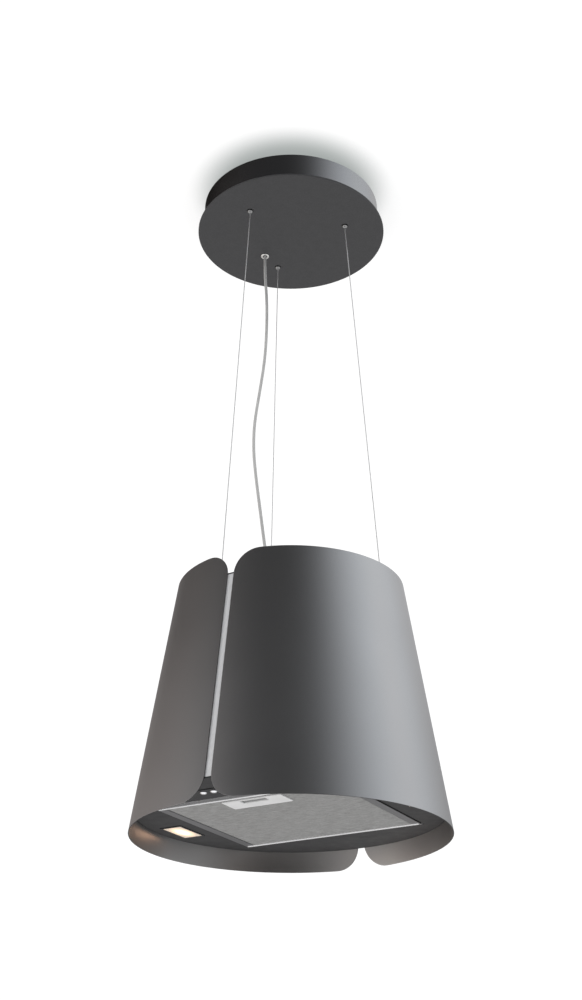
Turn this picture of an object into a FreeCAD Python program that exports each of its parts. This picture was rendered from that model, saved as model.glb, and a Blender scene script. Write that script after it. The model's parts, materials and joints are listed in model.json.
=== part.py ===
"""Island range hood hung from the ceiling on three steel wires.

Frame: the origin is the centre of the ceiling plate's mounting face, +Z is up, and the front slit
between the two half shells faces -Y. Lengths are in millimetres. Heights inside the suspended body
are given as a rise above the bottom rim of the shells.
"""
import FreeCAD, Part
import Sketcher

import math
import os
import re

DIMENSIONS = {
    # suspended body
    "rim_drop": (1092, "ceiling to the bottom rim of the shells"),
    "shell_rim_radius": (227.5, "outer radius of the bottom rim"),
    "shell_taper": (0.1532, "radius lost per millimetre of rise"),
    "shell_height": (372, "height of the half shells"),
    "sheet": (1.5, "thickness of the shell sheet, measured level"),
    "slit_width": (10, "gap between the two half shells"),
    "slit_corner": (37, "corner radius of the half shells at the slit"),
    "profile_width": (26, "width of the aluminium bars behind the slits"),
    "profile_depth": (3, "thickness of the aluminium bars"),
    "gap": (0.3, "clearance between neighbouring pieces"),
    "plate_rise": (30, "rim to the underside of the base plate"),
    "plate_depth": (2, "thickness of the base plate, deck and top cover"),
    "deck_rise": (118, "rim to the underside of the motor deck"),
    "cover_rise": (336, "rim to the underside of the top cover"),
    "ring_depth": (3, "thickness of the suspension ring"),
    "ring_inner_radius": (118, "inner radius of the suspension ring"),
    # grease filter
    "filter_half_width": (144, "half the filter's size along X"),
    "filter_half_length": (132, "half the filter's size along Y"),
    "filter_rise": (28.5, "rim to the filter's lower face"),
    "filter_depth": (12, "thickness of the filter frame"),
    "rail_side": (12, "width of the filter's side rails"),
    "rail_end": (12, "width of the filter's front and rear rails"),
    "bead_radius": (1.6, "radius of the beads along the front and rear rails"),
    "filter_clearance": (1, "gap between the filter and its opening"),
    "pin_radius": (1.8, "hinge pins of the filter"),
    "pin_clearance": (0.07, "running clearance of the hinge pins"),
    "pleat_pitch": (16, "pitch of the filter core's pleats"),
    "handle_half_width": (46, "half the width of the handle plate"),
    "handle_front": (-113, "front edge of the handle plate"),
    "handle_rear": (-76, "rear edge of the handle plate"),
    "latch_travel": (6, "travel of the filter latch"),
    # lamps and buttons
    "lamp_offset": (183.5, "centre of each lamp along X"),
    "lamp_forward": (3, "centre of each lamp along Y"),
    "lamp_width": (30, "light opening along X"),
    "lamp_length": (60, "light opening along Y"),
    "button_pitch": (16, "spacing of the push buttons"),
    "button_forward": (-168, "row of push buttons along Y"),
    "button_radius": (4.9, "radius of a push button"),
    # fan
    "inlet_radius": (62, "radius of the fan inlet"),
    "impeller_radius": (100, "radius of the impeller"),
    "impeller_rise": (128.2, "rim to the impeller's shroud"),
    "impeller_depth": (40, "height of the impeller"),
    "shaft_radius": (5, "radius of the motor shaft"),
    "motor_radius": (45, "radius of the motor"),
    "motor_rise": (183, "rim to the motor's lower face"),
    "motor_height": (66, "height of the motor"),
    "carbon_radius": (94, "radius of the carbon filter"),
    "foot_circle": (128, "radius of the circle of the motor bracket's feet"),
    # canopy
    "drum_radius": (149.4, "outer radius of the ceiling drum"),
    "disc_radius": (159.4, "outer radius of the cover disc"),
    "disc_drop": (51, "ceiling to the underside of the cover disc"),
    "disc_rim": (3, "height of the cover disc's turned rim"),
    "disc_travel": (40, "travel of the cover disc for service"),
    "bracket_depth": (2.5, "thickness of the ceiling plate"),
    "ceiling_circle": (110, "radius of the ceiling screw circle"),
    "ceiling_hole": (3.25, "radius of the ceiling screw holes"),
    "cable_hole": (12, "radius of the mains cable hole in the ceiling plate"),
    # suspension and cord
    "wire_circle": (95.8, "radius of the wire circle at the canopy"),
    "anchor_circle": (141.6, "radius of the wire circle at the hood"),
    "wire_azimuth": (-16.9, "degrees from -Y towards +X of the first wire"),
    "wire_radius": (0.75, "radius of a suspension wire"),
    "wire_bend": (40, "bend radius of a wire at a gripper or an anchor"),
    "gripper_radius": (7.5, "radius of a wire gripper"),
    "plunger_radius": (3.65, "radius of a gripper's plunger"),
    "cord_radius": (2.5, "radius of the power cord"),
    "cord_exit_x": (-68.9, "cord outlet in the canopy along X"),
    "cord_exit_y": (29.9, "cord outlet in the canopy along Y"),
    "cord_entry_x": (-38, "cord inlet in the hood along X"),
    "cord_entry_y": (2, "cord inlet in the hood along Y"),
}

# route of the power cord from the canopy's gland to the hood's gland
CORD_ROUTE = [
    (-68.9, 29.9, -30),
    (-68.9, 29.9, -90),
    (-62.2, 26.6, -150),
    (-60.0, 23.0, -214),
    (-60.6, 18.6, -276),
    (-65.8, 11.6, -340),
    (-71.6, 4.9, -402),
    (-71.0, 2.3, -455),
    (-64.9, 1.5, -508),
    (-57.2, 1.9, -564),
    (-49.6, 2.2, -620),
    (-42.4, 2.3, -668),
    (-38.0, 2.0, -707),
    (-38.0, 2.0, -740),
]

doc = FreeCAD.newDocument("island_range_hood")
sheet = doc.addObject("Spreadsheet::Sheet", "dims")
for row, (alias, (number, note)) in enumerate(DIMENSIONS.items(), start=1):
    sheet.set(f"A{row}", alias)
    sheet.set(f"B{row}", str(number))
    sheet.set(f"C{row}", note)
    sheet.setAlias(f"B{row}", alias)
doc.recompute()

SUBPARTS = []


# ---------------------------------------------------------------- helpers

def formula(text):
    """Write the sheet's name in front of every alias of the sheet in an expression."""
    def qualify(word):
        return "dims." + word.group() if word.group() in DIMENSIONS else word.group()
    return re.sub(r"[a-z]\w*", qualify, str(text))


def size(text):
    """Number that an expression of the sheet's aliases gives."""
    return float(sheet.evalExpression(formula(text)))


def bind(piece, **sizes):
    """Bind properties of an object to expressions of the sheet's aliases."""
    for name, text in sizes.items():
        piece.setExpression(name, formula(text))
    return piece


def place(piece, at=(0, 0, 0), axis=(0, 0, 1), angle=0):
    """Turn an object about an axis and bind its position to the sheet."""
    rotation = FreeCAD.Rotation(FreeCAD.Vector(*axis), angle)
    piece.Placement = FreeCAD.Placement(FreeCAD.Vector(0, 0, 0), rotation)
    for letter, text in zip("xyz", at):
        piece.setExpression("Placement.Base." + letter, formula(text))
    return piece


def subpart(piece, label):
    """Give an object the label of its node and list it for writing."""
    piece.Label = label
    SUBPARTS.append(piece)
    return piece


def rod(radius, height, at=(0, 0, 0), axis=(0, 0, 1), angle=0):
    piece = bind(doc.addObject("Part::Cylinder", "rod"), Radius=radius, Height=height)
    return place(piece, at, axis, angle)


def cone(lower_radius, upper_radius, height, at=(0, 0, 0)):
    piece = doc.addObject("Part::Cone", "cone")
    bind(piece, Radius1=lower_radius, Radius2=upper_radius, Height=height)
    return place(piece, at)


def block(low, high):
    """Box between two corners, each corner three expressions."""
    lengths = [f"({top}) - ({bottom})" for bottom, top in zip(low, high)]
    piece = doc.addObject("Part::Box", "block")
    bind(piece, Length=lengths[0], Width=lengths[1], Height=lengths[2])
    return place(piece, low)


def arm(inner, outer, width, low, high, angle):
    """Radial box from an inner to an outer radius, turned about the Z axis."""
    piece = doc.addObject("Part::Box", "arm")
    bind(piece, Length=f"({outer}) - ({inner})", Width=width, Height=f"({high}) - ({low})")
    turn = math.radians(angle)
    cosine, sine = math.cos(turn), math.sin(turn)
    at = (f"({inner}) * {cosine:.6f} + ({width}) / 2 * {sine:.6f}",
          f"({inner}) * {sine:.6f} - ({width}) / 2 * {cosine:.6f}",
          low)
    return place(piece, at, angle=angle)


def joined(*pieces):
    union = doc.addObject("Part::MultiFuse", "union")
    union.Shapes = list(pieces)
    return union


def group(*pieces):
    """Separate solids kept side by side in one object."""
    compound = doc.addObject("Part::Compound", "group")
    compound.Links = list(pieces)
    return compound


def cut(base, *tools):
    difference = doc.addObject("Part::Cut", "cut")
    difference.Base = base
    difference.Tool = tools[0] if len(tools) == 1 else group(*tools)
    return difference


def origin_plane(body, role):
    return next(item for item in body.Origin.OriginFeatures if item.Role == role)


def outline(body, plane, loops):
    """Sketch of closed outlines on an origin plane.

    A loop is a list of corners, or a circle as (x, y, radius). Every corner, centre and radius is
    a constraint bound to the sheet.
    """
    sketch = body.newObject("Sketcher::SketchObject", "outline")
    sketch.AttachmentSupport = (origin_plane(body, plane), "")
    sketch.MapMode = "FlatFace"
    bound = []

    def fix(kind, element, point, text):
        index = sketch.addConstraint(
            Sketcher.Constraint(kind, -1, 1, element, point, size(text)))
        bound.append((index, text))

    for loop in loops:
        if isinstance(loop, tuple):
            x, y, radius = loop
            centre = FreeCAD.Vector(size(x), size(y), 0)
            up = FreeCAD.Vector(0, 0, 1)
            element = sketch.addGeometry(Part.Circle(centre, up, size(radius)))
            fix("DistanceX", element, 3, x)
            fix("DistanceY", element, 3, y)
            index = sketch.addConstraint(Sketcher.Constraint("Radius", element, size(radius)))
            bound.append((index, radius))
            continue
        corners = [FreeCAD.Vector(size(x), size(y), 0) for x, y in loop]
        following = corners[1:] + corners[:1]
        edges = [sketch.addGeometry(Part.LineSegment(one, two))
                 for one, two in zip(corners, following)]
        for edge, after in zip(edges, edges[1:] + edges[:1]):
            sketch.addConstraint(Sketcher.Constraint("Coincident", edge, 2, after, 1))
        for edge, (x, y) in zip(edges, loop):
            fix("DistanceX", edge, 1, x)
            fix("DistanceY", edge, 1, y)
    for index, text in bound:
        sketch.renameConstraint(index, f"size{index}")
        sketch.setExpression(f"Constraints.size{index}", formula(text))
    return sketch


def turned(profile, at=(0, 0, 0)):
    """PartDesign body turned about its Z axis from corners given as (radius, height)."""
    body = doc.addObject("PartDesign::Body", "turned")
    sketch = outline(body, "XZ_Plane", [profile])
    revolution = body.newObject("PartDesign::Revolution", "revolution")
    revolution.Profile = sketch
    revolution.ReferenceAxis = (sketch, ["V_Axis"])
    revolution.Angle = 360
    return place(body, at)


def padded(plane, loops, length, midplane=False, at=(0, 0, 0)):
    """PartDesign body padded from closed outlines on an origin plane."""
    body = doc.addObject("PartDesign::Body", "padded")
    sketch = outline(body, plane, loops)
    pad = body.newObject("PartDesign::Pad", "pad")
    pad.Profile = sketch
    pad.Midplane = midplane
    bind(pad, Length=length)
    return place(body, at)


def rectangle(low_x, low_y, high_x, high_y):
    return [(low_x, low_y), (high_x, low_y), (high_x, high_y), (low_x, high_y)]


def rise(text):
    """Height in the frame of a rise above the rim."""
    return f"({text}) - rim_drop"


def shell_inside(level):
    """Inner radius of the shells at a rise above the rim."""
    return f"(shell_rim_radius - shell_taper * ({level}) - sheet)"


def wire_angle(index):
    """Angle from +X of a wire; the azimuth is counted from -Y towards +X."""
    return size("wire_azimuth") - 90 + 120 * index


def on_circle(radius, angle):
    """Expressions of X and Y on a circle round the Z axis."""
    turn = math.radians(angle)
    return (f"({radius}) * {math.cos(turn):.6f}", f"({radius}) * {math.sin(turn):.6f}")


WIRE_ANGLES = [wire_angle(index) for index in range(3)]
BETWEEN_ANGLES = [angle + 60 for angle in WIRE_ANGLES]
LEG_ANGLES = [60, 180, 300]
DRUM_SCREW_ANGLES = [44, 119, 194]
LETTERS = "abc"


# ---------------------------------------------------------------- suspended body

def shell(side):
    """Half of the tapered shell; side is 1 for the half at +X and -1 for the half at -X."""
    foot = rise("0")
    outside = cone("shell_rim_radius", "shell_rim_radius - shell_taper * shell_height",
                   "shell_height", (0, 0, foot))
    inside = cone("shell_rim_radius - sheet",
                  "shell_rim_radius - shell_taper * shell_height - sheet",
                  "shell_height", (0, 0, foot))
    wall = cut(outside, inside)
    reach = "shell_rim_radius + 10"
    near, far = "slit_width / 2", "slit_width / 2 + slit_corner"
    low_x, high_x = (near, reach) if side > 0 else (f"-({reach})", f"-({near})")
    half = doc.addObject("Part::MultiCommon", "half")
    half.Shapes = [wall, block((low_x, f"-({reach})", foot), (high_x, reach, rise("shell_height")))]
    corners = []
    for level, lower, upper in (("slit_corner", "0", "slit_corner"),
                                ("shell_height - slit_corner", "shell_height - slit_corner",
                                 "shell_height")):
        low_x, high_x = (near, far) if side > 0 else (f"-({far})", f"-({near})")
        square = block((low_x, f"-({reach})", rise(lower)), (high_x, reach, rise(upper)))
        round_ = rod("slit_corner", f"2 * ({reach})", (f"{side} * ({far})", reach, rise(level)),
                     axis=(1, 0, 0), angle=90)
        corners.append(cut(square, round_))
    return cut(half, *corners)


def slit_profile(side):
    """Aluminium bar behind a slit; side is -1 at the front and 1 at the rear."""
    foot, top = "plate_rise + plate_depth", "cover_rise"
    corners = []
    for level, inset in ((foot, "0"), (top, "0"), (top, "profile_depth"), (foot, "profile_depth")):
        face = f"{side} * ({shell_inside(level)} - 0.8 - {inset})"
        corners.append((face, rise(level)))
    return padded("YZ_Plane", [corners], "profile_width", midplane=True)


def base_plate():
    opening_x = "filter_half_width + filter_clearance"
    opening_y = "filter_half_length + filter_clearance"
    loops = [("0", "0", f"{shell_inside('plate_rise + plate_depth')} - gap"),
             rectangle(f"-({opening_x})", f"-({opening_y})", opening_x, opening_y)]
    for side in (-1, 1):
        centre = f"{side} * lamp_offset"
        loops.append(rectangle(f"{centre} - lamp_width / 2 - 1", "lamp_forward - lamp_length / 2 - 1",
                               f"{centre} + lamp_width / 2 + 1", "lamp_forward + lamp_length / 2 + 1"))
    for place_x in button_places():
        loops.append((place_x, "button_forward", "button_radius + gap"))
    return padded("XY_Plane", loops, "plate_depth", at=(0, 0, rise("plate_rise")))


def top_cover():
    """Slotted exhaust plate that closes the hood below the shells' upper edge."""
    loops = [("0", "0", f"{shell_inside('cover_rise + plate_depth')} - gap"),
             ("cord_entry_x", "cord_entry_y", "4")]
    for angle in WIRE_ANGLES:
        x, y = on_circle("anchor_circle", angle)
        loops.append((x, y, "8 + gap"))
    for angle in BETWEEN_ANGLES:
        x, y = on_circle("anchor_circle", angle)
        loops.append((x, y, "2.1"))
    plate = padded("XY_Plane", loops, "plate_depth", at=(0, 0, rise("cover_rise")))
    slots = []
    for inner, outer, count in (("16", "31", 8), ("50", "78", 24), ("84", "112", 36)):
        for index in range(count):
            slots.append(arm(inner, outer, "4", rise("cover_rise - 1"),
                             rise("cover_rise + plate_depth + 1"), 360 * (index + 0.5) / count))
    return cut(plate, *slots)


def suspension_ring():
    ring = turned([("ring_inner_radius", rise("cover_rise - ring_depth")),
                   (f"{shell_inside('cover_rise')} - profile_depth - 1.2",
                    rise("cover_rise - ring_depth")),
                   (f"{shell_inside('cover_rise')} - profile_depth - 1.2", rise("cover_rise")),
                   ("ring_inner_radius", rise("cover_rise"))])
    holes = []
    for angle in WIRE_ANGLES + BETWEEN_ANGLES:
        x, y = on_circle("anchor_circle", angle)
        holes.append(rod("2", "ring_depth + 2", (x, y, rise("cover_rise - ring_depth - 1"))))
    return cut(ring, *holes)


def wire_anchors():
    """Turned ferrules on the suspension ring that hold the lower ends of the wires."""
    anchors = []
    for angle in WIRE_ANGLES:
        x, y = on_circle("anchor_circle", angle)
        foot = rise("cover_rise")
        anchors.append(turned(
            [("0", f"{foot} - ring_depth"), ("2", f"{foot} - ring_depth"), ("2", foot),
             ("8", foot), ("8", f"{foot} + 4"), ("4", f"{foot} + 6"), ("4", f"{foot} + 13"),
             ("2.4", f"{foot} + 16"), ("wire_radius", f"{foot} + 16"), ("wire_radius", foot),
             ("0", foot)], at=(x, y, 0)))
    return group(*anchors)


def cover_screws():
    screws = []
    for angle in BETWEEN_ANGLES:
        x, y = on_circle("anchor_circle", angle)
        face = rise("cover_rise + plate_depth")
        screws.append(turned(
            [("0", f"{face} - 8"), ("2", f"{face} - 8"), ("2", face), ("3.8", face),
             ("3.4", f"{face} + 1.6"), ("2.2", f"{face} + 2.3"), ("0", f"{face} + 2.5")],
            at=(x, y, 0)))
    return group(*screws)


def filter_tray():
    """Sheet box between the base plate and the motor deck that takes the grease filter."""
    half_x = "filter_half_width + filter_clearance"
    half_y = "filter_half_length + filter_clearance"
    low, high = rise("plate_rise + plate_depth"), rise("deck_rise")
    outside = block((f"-({half_x}) - sheet", f"-({half_y}) - sheet", low),
                    (f"{half_x} + sheet", f"{half_y} + sheet", high))
    inside = block((f"-({half_x})", f"-({half_y})", f"{low} - 1"), (half_x, half_y, f"{high} + 1"))
    pins = rod("pin_radius + pin_clearance", "2 * filter_half_width + 10",
               ("-filter_half_width - 5", "filter_half_length - filter_depth / 2",
                rise("filter_rise + filter_depth / 2")), axis=(0, 1, 0), angle=90)
    mouth = block(("-18", f"-({half_y}) - sheet - 1", f"{low} - 1"),
                  ("18", f"-({half_y}) + 1", f"{low} + 5.5"))
    return cut(outside, inside, pins, mouth)


def motor_deck():
    plate = padded("XY_Plane", [
        ("0", "0", f"{shell_inside('deck_rise + plate_depth')} - profile_depth - 1.2"),
        ("0", "0", "inlet_radius + 2.5")], "plate_depth", at=(0, 0, rise("deck_rise")))
    return plate


def inlet_ring():
    """Fan inlet with a flange below the deck and three hooks that hold the carbon filter."""
    deck = rise("deck_rise")
    ring = turned([("inlet_radius + 4", f"{deck} - 2"), ("104", f"{deck} - 2"), ("104", deck),
                   ("inlet_radius + 2", deck), ("inlet_radius + 2", rise("impeller_rise - 0.7")),
                   ("inlet_radius", rise("impeller_rise - 0.7")), ("inlet_radius", deck)])
    hooks = []
    for angle in LEG_ANGLES:
        hooks.append(arm("101", "104", "16", f"{deck} - 23", f"{deck} - 2", angle))
        hooks.append(arm("96.5", "104", "16", f"{deck} - 23", f"{deck} - 21.3", angle))
    return joined(ring, *hooks)


def carbon_filter():
    top = rise("deck_rise - 5")
    case = turned([("20", f"{top} - 29"), ("carbon_radius - 3", f"{top} - 29"),
                   ("carbon_radius", f"{top} - 26"), ("carbon_radius", top), ("20", top)])
    lugs = [arm("carbon_radius - 2", "99.8", "12", f"{top} - 16", f"{top} - 13.5", angle)
            for angle in LEG_ANGLES]
    grip = block(("-22", "-2", f"{top} - 29"), ("22", "2", f"{top} - 5"))
    return joined(case, grip, *lugs)


def impeller():
    """Backward-curved fan wheel that draws the air up through the inlet ring."""
    low, high = rise("impeller_rise"), rise("impeller_rise + impeller_depth")
    shroud = turned([("inlet_radius + 4", low), ("impeller_radius", low),
                     ("impeller_radius", f"{low} + 1.8"), ("inlet_radius + 4", f"{low} + 1.8")])
    disc = turned([("shaft_radius", f"{high} - 18"), ("14", f"{high} - 18"), ("14", f"{high} - 2"),
                   ("impeller_radius", f"{high} - 2"), ("impeller_radius", high),
                   ("shaft_radius", high)])
    blades = []
    for index in range(9):
        spin = 40 * index
        blade = doc.addObject("Part::Box", "blade")
        bind(blade, Length="38", Width="1.6", Height="impeller_depth - 3.8")
        x, y = on_circle("inlet_radius + 4.5", spin)
        blades.append(place(blade, (x, y, f"{low} + 1.8"), angle=spin - 42))
    return joined(shroud, disc, *blades)


def motor_shaft():
    return rod("shaft_radius", "50", (0, 0, rise("impeller_rise + impeller_depth - 18")))


def motor_body():
    low, high = rise("motor_rise"), rise("motor_rise + motor_height")
    bore = "shaft_radius + 0.05"
    return turned([(bore, low), ("motor_radius - 4", low), ("motor_radius", f"{low} + 4"),
                   ("motor_radius", f"{high} - 12"), ("motor_radius - 12", high), ("0", high),
                   ("0", f"{low} + 18"), (bore, f"{low} + 18")])


def motor_bracket():
    seat = rise("motor_rise")
    plate = turned([("20", f"{seat} - 2"), ("60", f"{seat} - 2"), ("60", seat), ("20", seat)])
    foot = rise("deck_rise + plate_depth + 6")
    legs = []
    for angle in LEG_ANGLES:
        legs.append(arm("58", "foot_circle + 2", "16", f"{seat} - 2", seat, angle))
        legs.append(arm("foot_circle", "foot_circle + 2", "16", foot, seat, angle))
        legs.append(arm("foot_circle - 10", "foot_circle + 10", "16", foot, f"{foot} + 2", angle))
    return joined(plate, *legs)


def rubber_mounts():
    deck_top = rise("deck_rise + plate_depth")
    return group(*[rod("7", "6", (*on_circle("foot_circle", angle), deck_top))
                   for angle in LEG_ANGLES])


def control_box():
    deck_top = rise("deck_rise + plate_depth")
    case = block(("116", "-45", deck_top), ("180", "45", f"{deck_top} + 46"))
    room = block(("118", "-43", f"{deck_top} + 2"), ("178", "43", f"{deck_top} + 44"))
    return cut(case, room)


def lamp_bezel(side):
    """Lamp housing with a thin frame below the base plate, open downwards."""
    centre = f"{side} * lamp_offset"
    face = rise("plate_rise")

    def around(margin, low, high):
        return block((f"{centre} - lamp_width / 2 - {margin}",
                      f"lamp_forward - lamp_length / 2 - {margin}", low),
                     (f"{centre} + lamp_width / 2 + {margin}",
                      f"lamp_forward + lamp_length / 2 + {margin}", high))
    frame = around(3, f"{face} - 1", face)
    case = around(0.9, f"{face} - 0.5", f"{face} + 16")
    room = around(0, f"{face} - 2", f"{face} + 15")
    return cut(joined(frame, case), room)


def lamp_lens(side):
    centre = f"{side} * lamp_offset"
    face = rise("plate_rise")
    return block((f"{centre} - lamp_width / 2", "lamp_forward - lamp_length / 2", f"{face} - 0.7"),
                 (f"{centre} + lamp_width / 2", "lamp_forward + lamp_length / 2", f"{face} + 1.8"))


def button_places():
    return [f"{step} * button_pitch" for step in (-2.5, -1.5, -0.5, 0.5, 1.5, 2.5)]


def button_bezel():
    loops = [rectangle("-3.25 * button_pitch", "button_forward - 9",
                       "3.25 * button_pitch", "button_forward + 9")]
    loops += [(place_x, "button_forward", "button_radius + gap") for place_x in button_places()]
    return padded("XY_Plane", loops, "1", at=(0, 0, rise("plate_rise - 1")))


def switch_board():
    floor = rise("plate_rise + plate_depth")
    board = block(("-3.25 * button_pitch", "button_forward - 8", f"{floor} + 8"),
                  ("3.25 * button_pitch", "button_forward + 8", f"{floor} + 9.6"))
    posts = [block((f"{side} * 3.1 * button_pitch - 2", "button_forward - 8", floor),
                   (f"{side} * 3.1 * button_pitch + 2", "button_forward + 8", f"{floor} + 8"))
             for side in (-1, 1)]
    return joined(board, *posts)


def button(place_x):
    """Domed push button; its collar rests above the base plate."""
    face = rise("plate_rise")
    collar = f"{face} + plate_depth + gap"
    return turned([("0", f"{face} - 4.2"), ("2.2", f"{face} - 4"), ("3.8", f"{face} - 3.4"),
                   ("button_radius", f"{face} - 2.2"), ("button_radius", collar),
                   ("6.2", collar), ("6.2", f"{collar} + 1.5"), ("4", f"{collar} + 1.5"),
                   ("4", f"{collar} + 4.5"), ("0", f"{collar} + 4.5")],
                  at=(place_x, "button_forward", 0))


# ---------------------------------------------------------------- grease filter

def filter_frame():
    """Aluminium frame with beads below its end rails; the rounded rear rail carries the pins."""
    low, high = rise("filter_rise"), rise("filter_rise + filter_depth")
    axis_y = "filter_half_length - filter_depth / 2"
    axis_z = rise("filter_rise + filter_depth / 2")
    bead_y = "filter_half_length - rail_end + bead_radius + 0.1"
    flat = block(("-filter_half_width", "-filter_half_length", low),
                 ("filter_half_width", axis_y, high))
    rounded = rod("filter_depth / 2", "2 * filter_half_width",
                  ("-filter_half_width", axis_y, axis_z), axis=(0, 1, 0), angle=90)
    pins = rod("pin_radius", "2 * filter_half_width + 4.8",
               ("-filter_half_width - 2.4", axis_y, axis_z), axis=(0, 1, 0), angle=90)
    window = block(("rail_side - filter_half_width", "rail_end - filter_half_length", f"{low} - 1"),
                   ("filter_half_width - rail_side", "filter_half_length - rail_end",
                    f"{high} + 1"))
    slot = block(("-15.4", "-filter_half_length - 1", rise("plate_rise + plate_depth + 0.1")),
                 ("15.4", "rail_end - filter_half_length + 1",
                  rise("plate_rise + plate_depth + 2.7")))
    beads = [rod("bead_radius", "2 * filter_half_width - 4",
                 ("2 - filter_half_width", f"{side} * ({bead_y})", f"{low} + 0.6"),
                 axis=(0, 1, 0), angle=90) for side in ("-1", "1")]
    return cut(joined(flat, rounded, pins, *beads), window, slot)


def filter_mesh():
    low = rise("filter_rise + 0.5")
    layer = block(("rail_side - filter_half_width", "rail_end - filter_half_length", low),
                  ("filter_half_width - rail_side", "filter_half_length - rail_end",
                   f"{low} + 0.8"))
    seat = block(("-handle_half_width", "handle_front", f"{low} - 1"),
                 ("handle_half_width", "handle_rear", f"{low} + 2"))
    return cut(layer, seat)


def filter_core():
    """Pleated layer above the mesh, folded along X."""
    half_x = size("filter_half_width - rail_side")
    half_y = size("filter_half_length - rail_end") - 1
    low, high = size(rise("filter_rise + 6.7")), size(rise("filter_rise + 10.6"))
    leaf = 0.6
    folds = int(2 * half_y // (size("pleat_pitch") / 2))
    step = 2 * half_y / folds
    lower = [(-half_y + step * index, high if index % 2 else low) for index in range(folds + 1)]
    corners = [(0, y, z) for y, z in lower] + [(0, y, z + leaf) for y, z in reversed(lower)]
    face = Part.Face(Part.makePolygon([FreeCAD.Vector(*corner) for corner in corners + corners[:1]]))
    piece = doc.addObject("Part::Feature", "core")
    piece.Shape = face.extrude(FreeCAD.Vector(2 * half_x, 0, 0))
    piece.Placement = FreeCAD.Placement(FreeCAD.Vector(-half_x, 0, 0), FreeCAD.Rotation())
    return piece


def filter_handle():
    """Handle plate flush in the mesh, with a finger window and a stop for the latch spring."""
    low, high = rise("filter_rise - 0.9"), rise("filter_rise + 1.5")
    plate = block(("-handle_half_width", "handle_front", low),
                  ("handle_half_width", "handle_rear", high))
    window = block(("-20", "handle_front + 3.5", f"{low} - 1"),
                   ("20", "handle_front + 17", f"{high} + 1"))
    stop = block(("-6", "handle_rear - 3", high), ("6", "handle_rear", rise("filter_rise + 5.9")))
    return cut(joined(plate, stop), window)


def filter_latch():
    """Sliding bar behind the handle window; its tongue rests above the base plate."""
    low = rise("filter_rise + 1.8")
    tongue = rise("plate_rise + plate_depth + 0.4")
    grip = block(("-19", "handle_front + 5.5", low), ("19", "handle_rear - 15", tongue))
    bar = block(("-15", "-filter_half_length - 4.5", tongue),
                ("15", "handle_rear - 15", f"{tongue} + 2"))
    return joined(grip, bar)


def latch_spring():
    length = "12"
    at = ("0", "handle_rear - 3", rise("filter_rise + 3.9"))
    coil = rod("1.9", length, at, axis=(1, 0, 0), angle=90)
    hollow = rod("1.3", length, at, axis=(1, 0, 0), angle=90)
    return cut(coil, hollow)


# ---------------------------------------------------------------- canopy

def ceiling_bracket():
    """Pan-shaped ceiling plate with three legs for the cover magnets."""
    rim = "drum_radius - sheet - 0.5"
    pan = turned([("cable_hole", "-bracket_depth"), (f"{rim} - 2", "-bracket_depth"),
                  (f"{rim} - 2", "-18"), (rim, "-18"), (rim, "0"), ("cable_hole", "0")])
    legs = [arm("132", "138", "12", "6.7 - disc_drop", "-bracket_depth", angle)
            for angle in BETWEEN_ANGLES]
    holes = []
    for wire, between in zip(WIRE_ANGLES, BETWEEN_ANGLES):
        holes.append(rod("5", "10", (*on_circle("wire_circle", wire), -9)))
        holes.append(rod("ceiling_hole", "10", (*on_circle("ceiling_circle", between), -9)))
    return cut(joined(pan, *legs), *holes, *drum_screw_rods("2.1"))


def drum_screw_rods(radius):
    """Level rods through the rear of the drum and the rim of the ceiling plate."""
    return [rod(radius, "10", (*on_circle("drum_radius - 8", angle), -10),
                axis=(-math.sin(math.radians(angle)), math.cos(math.radians(angle)), 0), angle=90)
            for angle in DRUM_SCREW_ANGLES]


def canopy_drum():
    low = "disc_rim - 1.2 - disc_drop"
    wall = turned([("drum_radius - sheet", low), ("drum_radius", low), ("drum_radius", "0"),
                   ("drum_radius - sheet", "0")])
    return cut(wall, *drum_screw_rods("2.1"))


def drum_screws():
    """Flat-headed screws that fix the rear of the drum to the ceiling plate."""
    screws = []
    for angle in DRUM_SCREW_ANGLES:
        turn = math.radians(angle)
        axis = (-math.sin(turn), math.cos(turn), 0)
        shank = rod("2", "6", (*on_circle("drum_radius - 6", angle), -10), axis=axis, angle=90)
        head = rod("3.6", "1.2", (*on_circle("drum_radius", angle), -10), axis=axis, angle=90)
        screws.append(joined(shank, head))
    return group(*screws)


def cover_magnets():
    return group(*[rod("8", "4.9", (*on_circle("136", angle), "1.8 - disc_drop"))
                   for angle in BETWEEN_ANGLES])


def canopy_disc():
    """Cover disc with a turned rim and holes for the grippers and the cord ring."""
    low = "-disc_drop"
    dish = turned([("0", low), ("disc_radius", low), ("disc_radius", f"{low} + disc_rim"),
                   ("disc_radius - sheet", f"{low} + disc_rim"),
                   ("disc_radius - sheet", f"{low} + sheet"), ("0", f"{low} + sheet")])
    holes = [rod("5.3", "6", (*on_circle("wire_circle", angle), f"{low} - 2"))
             for angle in WIRE_ANGLES]
    holes.append(rod("5", "6", ("cord_exit_x", "cord_exit_y", f"{low} - 2")))
    return cut(dish, *holes)


def cord_ring():
    low = "-disc_drop"
    return turned([("4", f"{low} - 2"), ("6.6", f"{low} - 2"), ("7.5", f"{low} - 1.2"),
                   ("7.5", low), ("5", low), ("5", f"{low} + 4"), ("4", f"{low} + 4")],
                  at=("cord_exit_x", "cord_exit_y", 0))


def gripper_body(angle):
    """Wire gripper screwed into the ceiling plate, bored for its plunger."""
    bore = "plunger_radius + 0.05"
    return turned([("wire_radius", "-bracket_depth + 2.5"), ("5", "-bracket_depth + 2.5"),
                   ("5", "-8"), ("gripper_radius", "-8"), ("gripper_radius", "-40"),
                   ("gripper_radius - 1", "-41"), (bore, "-41"), (bore, "-20"),
                   ("wire_radius", "-20")], at=(*on_circle("wire_circle", angle), 0))


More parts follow.
